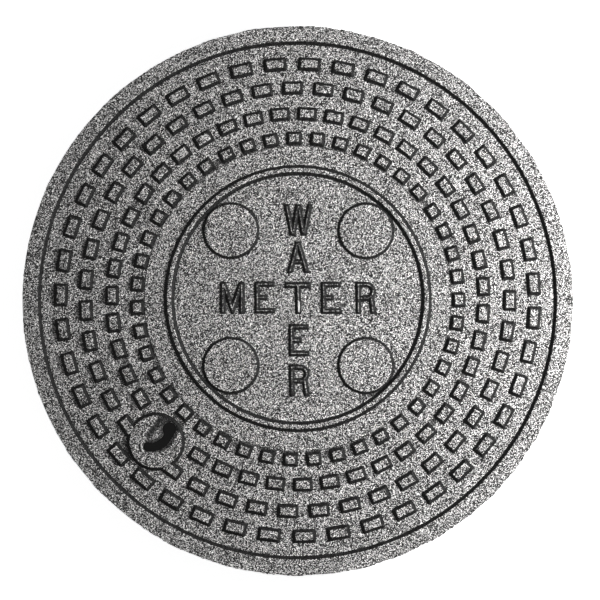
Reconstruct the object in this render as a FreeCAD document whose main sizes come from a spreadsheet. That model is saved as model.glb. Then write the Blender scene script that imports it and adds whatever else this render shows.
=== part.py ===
import FreeCAD, Part

import math
import os

import Sketcher

# Round cast-iron cover for a water meter box, poured as one piece.
# Millimetres, +Z up. The origin is on the seat, at the middle of the cover's underside.
#
# The top is a flat field with four rings of raised blocks between a raised rim and a raised
# bead. Inside the bead are four round pads. Towards the lower left a round boss stands among
# the blocks, with a curved keyhole through it for the lifting key. Underneath, the web is
# stiffened by crossed ribs that meet at a hub, and the thick rim stands on the seat.

SIZES = (
    ("cover_diameter", 508.0, "across the rim"),
    ("cover_height", 25.4, "seat to the tops of the blocks"),
    ("relief_height", 3.2, "blocks, boss and rim above the field"),
    ("relief_draft", 28.0, "draft of the blocks, boss and rim, degrees from upright"),
    ("web_thickness", 8.0, "plate under the field"),
    ("rim_foot_radius", 236.2, "foot of the rim's inner wall, on top"),
    ("rim_edge_chamfer", 1.6, "the rim's upper edge"),
    ("seat_width", 18.0, "flat ring that the cover stands on"),
    ("seat_edge_chamfer", 1.5, "chamfer of the rim's lower edge"),
    ("skirt_draft", 7.0, "draft of the rim's inside and of the ribs, degrees"),
    ("bead_radius", 118.2, "middle of the bead round the centre plate"),
    ("bead_foot_width", 8.6, "bead, at its foot"),
    ("bead_crest_width", 3.8, "bead, at its crest"),
    ("bead_crest_chamfer", 0.8, "both edges of the crest"),
    ("band_radius", 141.2, "outside of the plain band round the bead"),
    ("band_step", 0.4, "plain band and centre plate above the field"),
    ("blocks_per_ring", 43, "places in each ring of blocks"),
    ("block_depth", 11.4, "radial size of a block, at its foot"),
    ("outer_ring_radius", 217.4, "middle of the outermost blocks"),
    ("outer_block_length", 19.7, "their size along the ring, at the foot"),
    ("second_ring_radius", 194.9, "middle of the second ring"),
    ("second_block_length", 17.9, "its blocks along the ring"),
    ("third_ring_radius", 170.8, "middle of the third ring"),
    ("third_block_length", 16.6, "its blocks along the ring"),
    ("inner_ring_radius", 147.9, "middle of the innermost ring"),
    ("inner_block_length", 12.7, "its blocks along the ring"),
    ("second_ring_gap", 1, "blocks of the second ring that the boss swallows"),
    ("third_ring_gap", 2, "blocks of the third ring that give way to the boss"),
    ("pad_count", 4, "round pads on the centre plate"),
    ("pad_offset", 62.0, "each pad's middle from both centre lines"),
    ("pad_diameter", 49.2, "flat top of a pad"),
    ("pad_height", 2.0, "pad above the centre plate"),
    ("pad_draft", 30.0, "draft of a pad's edge, degrees"),
    ("boss_angle", 225.0, "where the boss stands, degrees from +X"),
    ("boss_distance", 184.7, "boss from the middle of the cover"),
    ("boss_diameter", 48.2, "flat top of the boss"),
    ("key_entry_diameter", 13.0, "round end of the keyhole"),
    ("key_entry_inward", 16.5, "round end from the boss's middle, towards the cover's"),
    ("key_entry_sideways", 0.9, "round end off the boss's radial line"),
    ("key_tail_width", 8.4, "curved part of the keyhole"),
    ("key_tail_bend", 16.5, "radius of its middle line"),
    ("key_tail_entry_turn", 43.0, "how far it bends round towards the round end, degrees"),
    ("key_tail_end_turn", 57.0, "how far it bends round towards the rim, degrees"),
    ("key_pivot_inward", 5.1, "middle of the bend from the boss's middle"),
    ("key_pivot_sideways", 11.1, "middle of the bend off the boss's radial line"),
    ("key_edge_chamfer", 0.5, "chamfer round the mouth of the keyhole"),
    ("rib_count", 4, "ribs from the hub to the rim"),
    ("rib_clearance", 4.0, "ribs above the seat"),
    ("rib_edge_width", 8.0, "lower edge of a rib"),
    ("hub_radius", 26.0, "hub underneath, at its lower face"),
    ("web_root_chamfer", 3.0, "slope where the web meets the rim and the hub"),
)

doc = FreeCAD.newDocument("meter_box_cover")
sheet = doc.addObject("Spreadsheet::Sheet", "Sizes")
for row, (name, value, meaning) in enumerate(SIZES, start=1):
    sheet.set(f"A{row}", name)
    sheet.set(f"B{row}", str(value))
    sheet.set(f"C{row}", meaning)
    sheet.setAlias(f"B{row}", name)
doc.recompute()

# Sizes that follow from the sheet, as expressions that sketches and features are bound to
RADIUS = "Sizes.cover_diameter / 2"
TOP = "Sizes.cover_height"
FIELD = "(Sizes.cover_height - Sizes.relief_height)"
CENTRE_PLATE = f"({FIELD} + Sizes.band_step)"
WEB_UNDERSIDE = f"({FIELD} - Sizes.web_thickness)"
RELIEF_RUN = "Sizes.relief_height * tan(Sizes.relief_draft * 1 deg)"
RIB_DEPTH = f"({WEB_UNDERSIDE} - Sizes.rib_clearance)"
RIB_RUN = f"{RIB_DEPTH} * tan(Sizes.skirt_draft * 1 deg)"
SKIRT_RUN = f"{WEB_UNDERSIDE} * tan(Sizes.skirt_draft * 1 deg)"
BLOCK_PITCH = "360 / Sizes.blocks_per_ring"
PAD_RUN = "Sizes.pad_height * tan(Sizes.pad_draft * 1 deg)"
ROUND_TOLERANCE = 0.01


def size(expression):
    """The value of an expression of the sheet's sizes, in millimetres or degrees."""
    return float(sheet.evalExpression(expression))


def origin_feature(body, role):
    """One of the body's own origin planes or axes, by its role."""
    return next(f for f in body.Origin.OriginFeatures if f.Role == role)


def sketch_on(body, name, plane, height="0", turn="0", outward="0"):
    """A sketch on one of the body's origin planes, raised, turned about Z and moved outward."""
    sketch = body.newObject("Sketcher::SketchObject", name)
    sketch.AttachmentSupport = (origin_feature(body, plane), [""])
    sketch.MapMode = "FlatFace"
    if plane == "XY_Plane":
        upright = FreeCAD.Rotation(FreeCAD.Vector(0, 0, 1), size(turn))
        sketch.AttachmentOffset = FreeCAD.Placement(FreeCAD.Vector(0, 0, 0), upright)
        sketch.setExpression("AttachmentOffset.Rotation.Angle", f"({turn}) * 1 deg")
        sketch.setExpression("AttachmentOffset.Base.x", f"({outward}) * cos(({turn}) * 1 deg)")
        sketch.setExpression("AttachmentOffset.Base.y", f"({outward}) * sin(({turn}) * 1 deg)")
        sketch.setExpression("AttachmentOffset.Base.z", height)
    return sketch


def bind_point(sketch, geometry, point, across, up):
    """Ties a point of the sketch to two expressions, measured from the sketch's origin."""
    for kind, expression in (("DistanceX", across), ("DistanceY", up)):
        if expression == "0":
            axis = -2 if kind == "DistanceX" else -1
            sketch.addConstraint(Sketcher.Constraint("PointOnObject", geometry, point, axis))
            continue
        place = sketch.addConstraint(
            Sketcher.Constraint(kind, -1, 1, geometry, point, size(expression))
        )
        sketch.setExpression(f"Constraints[{place}]", expression)


def draw_outline(sketch, corners):
    """A closed outline of straight lines through corners, each a pair of expressions."""
    points = [FreeCAD.Vector(size(across), size(up), 0) for across, up in corners]
    count = len(points)
    for i in range(count):
        sketch.addGeometry(Part.LineSegment(points[i], points[(i + 1) % count]), False)
    for i in range(count):
        sketch.addConstraint(Sketcher.Constraint("Coincident", i, 2, (i + 1) % count, 1))
    for i, (across, up) in enumerate(corners):
        bind_point(sketch, i, 1, across, up)


def draw_rectangle(sketch, inner, outer, length):
    """A rectangle from inner to outer along the sketch's X, centred on its X axis."""
    half = f"({length}) / 2"
    draw_outline(
        sketch,
        ((inner, f"-{half}"), (outer, f"-{half}"), (outer, half), (inner, half)),
    )


def draw_circle(sketch, across, up, diameter):
    """A circle whose middle and diameter are expressions."""
    middle = FreeCAD.Vector(size(across), size(up), 0)
    circle = Part.Circle(middle, FreeCAD.Vector(0, 0, 1), size(diameter) / 2)
    place = sketch.addGeometry(circle, False)
    bind_point(sketch, place, 3, across, up)
    width = sketch.addConstraint(Sketcher.Constraint("Diameter", place, size(diameter)))
    sketch.setExpression(f"Constraints[{width}]", diameter)


def draw_curved_slot(sketch, across, up, bend, width, right_turn, left_turn):
    """A slot along an arc that bulges towards +Y and turns so far right and left of it."""
    middle = FreeCAD.Vector(size(across), size(up), 0)
    normal = FreeCAD.Vector(0, 0, 1)
    quarter = math.radians(90)
    start = quarter - math.radians(size(right_turn))
    end = quarter + math.radians(size(left_turn))
    radii = (size(f"{bend} + {width} / 2"), size(f"{bend} - {width} / 2"))
    outer, inner = (
        sketch.addGeometry(Part.ArcOfCircle(Part.Circle(middle, normal, r), start, end), False)
        for r in radii
    )
    caps = []
    for angle, first, last in ((start, start - math.pi, start), (end, end, end + math.pi)):
        line = Part.Circle(middle, normal, size(bend))
        cap = Part.Circle(line.value(angle), normal, size(width) / 2)
        caps.append(sketch.addGeometry(Part.ArcOfCircle(cap, first, last), False))
    at_start, at_end = caps
    bind_point(sketch, outer, 3, across, up)
    for constraint in (
        ("Coincident", inner, 3, outer, 3),
        ("Tangent", at_start, 2, outer, 1),
        ("Tangent", outer, 2, at_end, 1),
        ("Tangent", at_end, 2, inner, 2),
        ("Tangent", inner, 1, at_start, 1),
    ):
        sketch.addConstraint(Sketcher.Constraint(*constraint))
    radius = sketch.addConstraint(Sketcher.Constraint("Radius", outer, radii[0]))
    sketch.setExpression(f"Constraints[{radius}]", f"{bend} + {width} / 2")
    end_width = sketch.addConstraint(Sketcher.Constraint("Radius", at_end, size(width) / 2))
    sketch.setExpression(f"Constraints[{end_width}]", f"{width} / 2")
    for cap, sign, turn in ((at_start, "+", right_turn), (at_end, "-", left_turn)):
        reach = f"{across} {sign} {bend} * sin({turn} * 1 deg)"
        place = sketch.addConstraint(
            Sketcher.Constraint("DistanceX", -1, 1, cap, 3, size(reach))
        )
        sketch.setExpression(f"Constraints[{place}]", reach)


def pad(body, name, sketch, length, draft, widens=False):
    """A pad whose walls lean in as it rises, or out if it widens."""
    feature = body.newObject("PartDesign::Pad", name)
    feature.Profile = sketch
    feature.setExpression("Length", length)
    feature.setExpression("TaperAngle", f"{'' if widens else '-'}{draft} * 1 deg")
    doc.recompute()
    return feature


def ring_of(body, name, feature, count, spread="360"):
    """Copies of a feature round the Z axis: all round, or spread over part of the circle."""
    pattern = body.newObject("PartDesign::PolarPattern", name)
    pattern.Originals = [feature]
    pattern.Axis = (origin_feature(body, "Z_Axis"), [""])
    pattern.setExpression("Occurrences", count)
    pattern.setExpression("Angle", f"({spread}) * 1 deg")
    body.Tip = pattern
    doc.recompute()
    return pattern


def edges_where(shape, wanted):
    """Names of the shape's edges that a test picks out."""
    return [f"Edge{i}" for i, edge in enumerate(shape.Edges, start=1) if wanted(edge)]


def rings_at(shape, places):
    """Names of the full-circle edges about the Z axis at these (radius, height) places."""
    targets = [(size(radius), size(height)) for radius, height in places]

    def wanted(edge):
        curve = edge.Curve
        if not isinstance(curve, Part.Circle):
            return False
        return any(
            abs(curve.Radius - radius) < ROUND_TOLERANCE
            and abs(curve.Center.z - height) < ROUND_TOLERANCE
            and curve.Center.x**2 + curve.Center.y**2 < ROUND_TOLERANCE
            for radius, height in targets
        )

    return edges_where(shape, wanted)


def dress(body, name, kind, edges, amount):
    """A fillet or chamfer on edges of the body's last feature."""
    base = body.Tip
    feature = body.newObject(f"PartDesign::{kind}", name)
    feature.Base = (base, edges)
    feature.setExpression("Radius" if kind == "Fillet" else "Size", amount)
    doc.recompute()
    return feature


def turned_plate(body):
    """The plate, rim, bead and hub, turned from one half section."""
    bead_inside, bead_outside = (
        f"(Sizes.bead_radius {sign} Sizes.bead_foot_width / 2)" for sign in "-+"
    )
    crest_inside, crest_outside = (
        f"(Sizes.bead_radius {sign} Sizes.bead_crest_width / 2)" for sign in "-+"
    )
    skirt_foot = f"({RADIUS} - Sizes.seat_width)"
    skirt_root = f"({skirt_foot} - {SKIRT_RUN})"
    hub_root = f"(Sizes.hub_radius + {RIB_RUN})"
    section = sketch_on(body, "half_section", "XZ_Plane")
    draw_outline(
        section,
        (
            ("0", CENTRE_PLATE),
            (bead_inside, CENTRE_PLATE),
            (crest_inside, TOP),
            (crest_outside, TOP),
            (bead_outside, CENTRE_PLATE),
            ("Sizes.band_radius - Sizes.band_step", CENTRE_PLATE),
            ("Sizes.band_radius", FIELD),
            ("Sizes.rim_foot_radius", FIELD),
            (f"Sizes.rim_foot_radius + {RELIEF_RUN}", TOP),
            (RADIUS, TOP),
            (RADIUS, "Sizes.seat_edge_chamfer"),
            (f"{RADIUS} - Sizes.seat_edge_chamfer", "0"),
            (skirt_foot, "0"),
            (skirt_root, WEB_UNDERSIDE),
            (hub_root, WEB_UNDERSIDE),
            ("Sizes.hub_radius", "Sizes.rib_clearance"),
            ("0", "Sizes.rib_clearance"),
        ),
    )
    plate = body.newObject("PartDesign::Revolution", "plate")
    plate.Profile = section
    plate.ReferenceAxis = (section, ["V_Axis"])
    plate.Angle = 360
    doc.recompute()

    crest = rings_at(plate.Shape, ((crest_inside, TOP), (crest_outside, TOP)))
    dress(body, "bead_crest", "Chamfer", crest, "Sizes.bead_crest_chamfer")
    rim = rings_at(body.Shape, ((RADIUS, TOP),))
    dress(body, "rim_edge", "Chamfer", rim, "Sizes.rim_edge_chamfer")
    roots = rings_at(body.Shape, ((skirt_root, WEB_UNDERSIDE), (hub_root, WEB_UNDERSIDE)))
    dress(body, "web_roots", "Chamfer", roots, "Sizes.web_root_chamfer")


def crossed_ribs(body):
    """Ribs from the hub to the rim, turned so that the keyhole is in the middle of a bay."""
    middle_of_a_bay = "Sizes.boss_angle + 180 / Sizes.rib_count"
    sketch = sketch_on(body, "rib_edge", "XY_Plane", "Sizes.rib_clearance", middle_of_a_bay)
    reach = f"({RADIUS} - Sizes.seat_width / 2)"
    draw_rectangle(sketch, "Sizes.hub_radius / 2", reach, "Sizes.rib_edge_width")
    rib = pad(body, "rib", sketch, RIB_DEPTH, "Sizes.skirt_draft", widens=True)
    ring_of(body, "ribs", rib, "Sizes.rib_count")


def ring_of_blocks(body, name, radius, length, first, gap="0"):
    """One ring of blocks. The first stands so many pitches past the boss, the gap across it."""
    turn = f"Sizes.boss_angle + {BLOCK_PITCH} * {first}"
    sketch = sketch_on(body, f"{name}_foot", "XY_Plane", FIELD, turn)
    inner, outer = (f"{radius} {sign} Sizes.block_depth / 2" for sign in "-+")
    draw_rectangle(sketch, inner, outer, length)
    block = pad(body, name, sketch, "Sizes.relief_height", "Sizes.relief_draft")
    count = f"Sizes.blocks_per_ring - {gap}"
    spread = "360" if gap == "0" else f"{BLOCK_PITCH} * ({count} - 1)"
    ring_of(body, f"{name}s", block, count, spread)


def centre_pads(body):
    """The round pads on the centre plate."""
    sketch = sketch_on(body, "pad_foot", "XY_Plane", CENTRE_PLATE)
    foot = f"Sizes.pad_diameter + 2 * {PAD_RUN}"
    draw_circle(sketch, "Sizes.pad_offset", "Sizes.pad_offset", foot)
    disc = pad(body, "pad", sketch, "Sizes.pad_height", "Sizes.pad_draft")
    ring_of(body, "pads", disc, "Sizes.pad_count")


def key_boss(body):
    """The boss among the blocks, and the keyhole through it."""
    on_boss = {"turn": "Sizes.boss_angle", "outward": "Sizes.boss_distance"}
    sketch = sketch_on(body, "boss_foot", "XY_Plane", FIELD, **on_boss)
    draw_circle(sketch, "0", "0", f"Sizes.boss_diameter + 2 * {RELIEF_RUN}")
    pad(body, "boss", sketch, "Sizes.relief_height", "Sizes.relief_draft")

    entry = sketch_on(body, "key_entry_outline", "XY_Plane", TOP, **on_boss)
    draw_circle(
        entry, "-Sizes.key_entry_inward", "Sizes.key_entry_sideways", "Sizes.key_entry_diameter"
    )
    tail = sketch_on(body, "key_tail_outline", "XY_Plane", TOP, **on_boss)
    draw_curved_slot(
        tail,
        "-Sizes.key_pivot_inward",
        "-Sizes.key_pivot_sideways",
        "Sizes.key_tail_bend",
        "Sizes.key_tail_width",
        "Sizes.key_tail_end_turn",
        "Sizes.key_tail_entry_turn",
    )
    for outline, name in ((entry, "key_entry"), (tail, "key_tail")):
        hole = body.newObject("PartDesign::Pocket", name)
        hole.Profile = outline
        hole.Type = "ThroughAll"
        doc.recompute()

    middle = boss_middle()
    reach = size("Sizes.boss_diameter") / 2
    top = size(TOP)

    def round_the_mouth(edge):
        box = edge.BoundBox
        on_top = abs(box.ZMin - top) < ROUND_TOLERANCE and abs(box.ZMax - top) < ROUND_TOLERANCE
        points = edge.discretize(5)
        return on_top and all(
            (point - middle).Length < reach - ROUND_TOLERANCE for point in points
        )

    mouth = edges_where(body.Shape, round_the_mouth)
    dress(body, "key_mouth", "Chamfer", mouth, "Sizes.key_edge_chamfer")


def boss_middle():
    """The middle of the boss's flat top."""
    cosine, sine = (
        size(f"Sizes.boss_distance * {wave}(Sizes.boss_angle * 1 deg)") for wave in ("cos", "sin")
    )
    return FreeCAD.Vector(cosine, sine, size(TOP))


def make_cover():
    """The whole casting, as one body."""
    body = doc.addObject("PartDesign::Body", "cover")
    body.Label = "cover"
    turned_plate(body)
    key_boss(body)
    crossed_ribs(body)
    centre_pads(body)
    # Even rings have a block in line with the boss, odd rings have one each side of that line
    for ring, first, gap in (
        ("outer", "0.5", "0"),
        ("second", "(Sizes.second_ring_gap + 1) / 2", "Sizes.second_ring_gap"),
        ("third", "(Sizes.third_ring_gap + 1) / 2", "Sizes.third_ring_gap"),
        ("inner", "0", "0"),
    ):
        radius, length = f"Sizes.{ring}_ring_radius", f"Sizes.{ring}_block_length"
        ring_of_blocks(body, f"{ring}_block", radius, length, first, gap)
    return body


def check_and_write(bodies):
    """Stops on any failed feature or bad shape, then writes each body's STEP file."""
    for item in doc.Objects:
        if {"Invalid", "Error"} & set(item.State):
            raise RuntimeError(f"{item.Name} failed: {item.State}")
    for body in bodies:
        if body.Shape.isNull() or not body.Shape.isValid():
            raise RuntimeError(f"{body.Label} has no valid shape")
    os.makedirs("parts", exist_ok=True)
    for body in bodies:
        body.Shape.exportStep(f"parts/{body.Label}.step")
        volume = body.Shape.Volume / 1000.0
        print(f"{body.Label}: {len(body.Shape.Solids)} solid, {volume:.1f} cm3")


check_and_write([make_cover()])
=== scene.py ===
import math

import bpy
import numpy as np
from mathutils import Matrix, Vector
from mathutils.geometry import delaunay_2d_cdt


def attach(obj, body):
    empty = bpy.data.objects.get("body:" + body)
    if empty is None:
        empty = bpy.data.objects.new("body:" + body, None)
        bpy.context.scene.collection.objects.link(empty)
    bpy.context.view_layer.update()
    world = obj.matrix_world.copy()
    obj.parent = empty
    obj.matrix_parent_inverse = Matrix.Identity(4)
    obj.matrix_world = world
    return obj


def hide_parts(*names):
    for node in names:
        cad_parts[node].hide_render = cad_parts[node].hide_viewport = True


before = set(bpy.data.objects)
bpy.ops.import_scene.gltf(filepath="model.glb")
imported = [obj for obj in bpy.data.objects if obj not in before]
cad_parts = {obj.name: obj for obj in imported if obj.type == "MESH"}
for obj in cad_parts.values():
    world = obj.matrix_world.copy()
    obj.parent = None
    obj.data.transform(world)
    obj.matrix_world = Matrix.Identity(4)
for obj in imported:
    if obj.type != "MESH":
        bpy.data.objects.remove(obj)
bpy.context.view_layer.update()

# Sizes are in millimetres until the mesh is made, and angles in degrees from +X towards +Y.
MM = 0.001

# The casting's main sizes, the same as the solid's
RADIUS = 254.0
TOP = 25.4
FIELD = 22.2
CENTRE_PLATE = 22.6
WEB_UNDERSIDE = 14.2
RELIEF = TOP - FIELD
RELIEF_RUN = 1.7
RIM_FOOT_RADIUS = 236.2
BAND_RADIUS = 141.2
BEAD_RADIUS = 118.2
BEAD_HALF_FOOT = 4.3
BEAD_RUN = 2.0
PAD_FOOT_RADIUS = 25.8
PAD_HEIGHT = 2.1
PAD_RUN = 1.3
BOSS_ANGLE = 225.0
BOSS_DISTANCE = 184.7
BOSS_FOOT_RADIUS = 25.8
SKIRT_FOOT_RADIUS = 236.0
RIB_TIP = 4.0
RIB_HALF_EDGE = 4.0
HUB_TIP_RADIUS = 26.0
SKIRT_DRAFT = math.radians(7.0)

# Each ring of blocks: its radius, a block's size along it, how many pitches past the boss the
# first block stands, and how many blocks are left out
BLOCKS_PER_RING = 43
PITCH = 360.0 / BLOCKS_PER_RING
BLOCK_DEPTH = 11.4
BLOCK_CORNER = 0.7
BLOCK_SHARPEST = 0.25
BLOCK_SPACING = 4.5
RINGS = (
    (217.4, 19.7, 0.5, 0),
    (194.9, 17.9, 1.0, 1),
    (170.8, 16.6, 1.5, 2),
    (147.9, 12.7, 0.0, 0),
)

# The pads stand a little out of square on the centre plate
PADS = ((62.9, 61.5), (-61.4, 62.3), (-62.0, -61.7), (61.7, -62.6))

# The keyhole in the boss's own axes: outward along the cover's radius, then anticlockwise.
# Its tail bends about the pivot between two turns from the second axis. The entry and the tail
# run into each other over the blend.
KEY_ENTRY = (-16.5, 0.9)
KEY_ENTRY_RADIUS = 6.5
KEY_PIVOT = (-5.1, -11.1)
KEY_BEND = 16.5
KEY_HALF_WIDTH = 4.2
KEY_TURNS = (math.radians(-43.0), math.radians(57.0))
KEY_MOUTH_ROUND = 0.5
KEY_FOOT_ROUND = 0.35
KEY_BLEND = 1.6

# How far a sand casting strays from its drawing
BLOCK_SHIFT = 0.18
BLOCK_TURN = math.radians(0.5)
BLOCK_GROWTH = (-0.22, 0.12)
EDGE_WANDER = 0.16
SURFACE_WAVE = 0.07
FINE_WAVE = 0.03
UNDERSIDE_WAVE = 0.25
OUTER_ROUGHNESS = 1.8
OUTER_SHIFT = 0.6
RIM_FALL = 0.5
RIM_FALL_WIDTH = 16.0

# The coating and painted shade go from all to nothing over this width. Beyond that the value
# counts on to the limit, so that its edge stays sharp between two rows of points.
COATING_FADE = 0.4
COATING_LIMIT = 8.0

# A distance inside a foot line that stands for far outside it
FAR_OUTSIDE = -9.0


def polar(radius, degrees):
    """A point of the plan at this radius and angle."""
    angle = math.radians(degrees)
    return np.array((radius * math.cos(angle), radius * math.sin(angle)))


def waves(seed, shortest, longest, count=22):
    """A smooth seeded wobble over the plan, from -1 to 1, with wavelengths in this range."""
    rng = np.random.default_rng(seed)
    heading = rng.uniform(0.0, 2.0 * math.pi, count)
    number = 2.0 * math.pi / rng.uniform(shortest, longest, count)
    phase = rng.uniform(0.0, 2.0 * math.pi, count)

    def wobble(x, y):
        total = np.zeros_like(x)
        for k in range(count):
            along = x * math.cos(heading[k]) + y * math.sin(heading[k])
            total += np.sin(along * number[k] + phase[k])
        return np.clip(total / math.sqrt(2.0 * count), -1.0, 1.0)

    return wobble


class Wall:
    """A drafted wall that rises from its foot line, with a fillet below and a round above."""

    def __init__(self, height, run, fillet, edge, coated=(0.0, 0.0)):
        """Height, run in the plan, radii of fillet and round, and the distances between which it
        is dark with coating and painted shade.
        """
        self.height, self.run, self.fillet, self.edge = height, run, fillet, edge
        self.coated = coated
        self.slope = math.atan2(height, run)
        self.low = fillet * math.tan(self.slope / 2.0)
        self.high = edge * math.tan(self.slope / 2.0)

    def rise(self, inside):
        """The height at this distance inside the foot line."""
        low_end = self.low * math.cos(self.slope)
        high_start = self.run - self.high * math.cos(self.slope)
        foot = np.clip(inside + self.low, 0.0, self.fillet)
        crest = np.clip(self.run + self.high - inside, 0.0, self.edge)
        height = np.where(inside <= -self.low, 0.0, inside * (self.height / self.run))
        in_fillet = self.fillet - np.sqrt(self.fillet**2 - foot**2)
        in_edge = self.height - self.edge + np.sqrt(self.edge**2 - crest**2)
        height = np.where((inside > -self.low) & (inside < low_end), in_fillet, height)
        height = np.where((inside > high_start) & (inside < self.run + self.high), in_edge, height)
        return np.where(inside >= self.run + self.high, self.height, height)

    def levels(self, fillet_steps=2, edge_steps=2):
        """Distances inside the foot line at which the wall needs a row of points."""
        angles = self.slope * np.linspace(0.0, 1.0, fillet_steps + 1)
        below = -self.low + self.fillet * np.sin(angles)
        angles = self.slope * np.linspace(1.0, 0.0, edge_steps + 1)
        above = self.run + self.high - self.edge * np.sin(angles)
        just_outside = -self.low - 0.3
        return [just_outside, *below, *above]

    def coating_and_shade(self, inside):
        """Coating and painted shade kept this far inside the foot line: all of it from 1 up, none
        from 0 down.
        """
        beyond = np.maximum(self.coated[0] - inside, inside - self.coated[1])
        return np.clip(1.0 - beyond / COATING_FADE, -COATING_LIMIT, COATING_LIMIT)


# The coating is worn off the flats and stays on the walls, between the distances given last. Its
# darkness on the walls and just beyond their feet is partly painted shade.
block_wall = Wall(RELIEF, RELIEF_RUN, 0.9, 2.5, (-0.6, 1.85))
bead_wall = Wall(TOP - CENTRE_PLATE, BEAD_RUN, 1.0, 3.2, (-0.4, 2.2))
pad_wall = Wall(PAD_HEIGHT, PAD_RUN, 0.5, 2.2, (-0.4, 1.65))
band_wall = Wall(CENTRE_PLATE - FIELD, 0.5, 0.5, 0.4)
letter_wall = Wall(2.0, 1.5, 0.3, 1.8, (0.0, 1.97))
skirt_wall = Wall(WEB_UNDERSIDE, WEB_UNDERSIDE * math.tan(SKIRT_DRAFT), 4.0, 0.8)
RIB_HEIGHT = WEB_UNDERSIDE - RIB_TIP
rib_wall = Wall(RIB_HEIGHT, RIB_HEIGHT * math.tan(SKIRT_DRAFT), 3.0, 1.2)


def rounded_box(x, y, half_x, half_y, corner):
    """Distance inside a rectangle with rounded corners, less than nothing outside it."""
    over_x = np.abs(x) - half_x + corner
    over_y = np.abs(y) - half_y + corner
    outside = np.hypot(np.maximum(over_x, 0.0), np.maximum(over_y, 0.0))
    return corner - outside - np.minimum(np.maximum(over_x, over_y), 0.0)


def rounded_box_line(half_x, half_y, corner, spacing):
    """Points round a rectangle with rounded corners, in its own axes."""
    signs = ((1, -1), (1, 1), (-1, 1), (-1, -1))
    middles = [np.array((x * (half_x - corner), y * (half_y - corner))) for x, y in signs]
    points = []
    for k, middle in enumerate(middles):
        start = 90.0 * (k - 1)
        arc = [middle + polar(corner, start + step) for step in (0.0, 30.0, 60.0, 90.0)]
        side = middles[(k + 1) % 4] + polar(corner, start + 90.0) - arc[-1]
        pieces = max(1, round(float(np.linalg.norm(side)) / spacing))
        points += arc
        points += [arc[-1] + side * (piece / pieces) for piece in range(1, pieces)]
    return np.array(points)


def circle_line(radius, count, middle=(0.0, 0.0)):
    """Points round a circle."""
    angles = np.linspace(0.0, 2.0 * math.pi, count, endpoint=False)
    ring = np.stack((np.cos(angles), np.sin(angles)), axis=1) * radius
    return ring + np.array(middle)


def turned(points, angle):
    """Points turned about the origin by an angle in radians."""
    cosine, sine = math.cos(angle), math.sin(angle)
    return points @ np.array(((cosine, sine), (-sine, cosine)))


class BlockRing:
    """One ring of raised blocks, each a little out of place as the pattern maker left it."""

    def __init__(self, radius, length, first, left_out, seed):
        rng = np.random.default_rng(seed)
        self.radius, self.half_length, self.first = radius, length / 2.0, first
        self.present = BLOCKS_PER_RING - left_out
        self.shift = rng.uniform(-BLOCK_SHIFT, BLOCK_SHIFT, (BLOCKS_PER_RING, 2))
        self.turn = rng.uniform(-BLOCK_TURN, BLOCK_TURN, BLOCKS_PER_RING)
        self.grow = rng.uniform(*BLOCK_GROWTH, (BLOCKS_PER_RING, 2))

    def half_sizes(self, k):
        """Half the size of block number k, outward and sideways."""
        return BLOCK_DEPTH / 2.0 + self.grow[k, 0] / 2.0, self.half_length + self.grow[k, 1] / 2.0

    def place(self, k):
        """Middle and direction of block number k."""
        angle = BOSS_ANGLE + PITCH * (self.first + k)
        outward = polar(1.0, angle)
        sideways = np.array((-outward[1], outward[0]))
        middle = outward * (self.radius + self.shift[k, 0]) + sideways * self.shift[k, 1]
        return middle, math.radians(angle) + self.turn[k]

    def inside(self, x, y):
        """Distance inside the nearest block's foot line."""
        degrees = np.degrees(np.arctan2(y, x)) - BOSS_ANGLE
        k = np.round(degrees / PITCH - self.first).astype(int) % BLOCKS_PER_RING
        angle = np.radians(BOSS_ANGLE + PITCH * (self.first + k))
        reach = self.radius + self.shift[k, 0]
        middle_x = np.cos(angle) * reach - np.sin(angle) * self.shift[k, 1]
        middle_y = np.sin(angle) * reach + np.cos(angle) * self.shift[k, 1]
        heading = angle + self.turn[k]
        off_x, off_y = x - middle_x, y - middle_y
        along = off_x * np.cos(heading) + off_y * np.sin(heading)
        across = off_y * np.cos(heading) - off_x * np.sin(heading)
        inside = rounded_box(along, across, *self.half_sizes(k), BLOCK_CORNER)
        return np.where(k < self.present, inside, FAR_OUTSIDE)

    def lines(self):
        """Rows of points round every block, foot to top."""
        for k in range(self.present):
            middle, heading = self.place(k)
            half_x, half_y = self.half_sizes(k)
            for level in block_wall.levels():
                corner = max(BLOCK_CORNER - level, BLOCK_SHARPEST)
                row = rounded_box_line(half_x - level, half_y - level, corner, BLOCK_SPACING)
                yield turned(row, heading) + middle


block_rings = [BlockRing(*ring, seed=31 + n) for n, ring in enumerate(RINGS)]

BOSS = polar(BOSS_DISTANCE, BOSS_ANGLE)
BOSS_OUTWARD = polar(1.0, BOSS_ANGLE)
BOSS_SIDEWAYS = np.array((-BOSS_OUTWARD[1], BOSS_OUTWARD[0]))
BOSS_TOP_RADIUS = BOSS_FOOT_RADIUS - RELIEF_RUN


def to_boss(x, y):
    """Plan coordinates in the boss's own axes."""
    off_x, off_y = x - BOSS[0], y - BOSS[1]
    outward = off_x * BOSS_OUTWARD[0] + off_y * BOSS_OUTWARD[1]
    sideways = off_x * BOSS_SIDEWAYS[0] + off_y * BOSS_SIDEWAYS[1]
    return outward, sideways


def from_boss(points):
    """Points in the boss's own axes, back in the plan."""
    points = np.atleast_2d(points)
    return BOSS + points[:, :1] * BOSS_OUTWARD + points[:, 1:] * BOSS_SIDEWAYS


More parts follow.
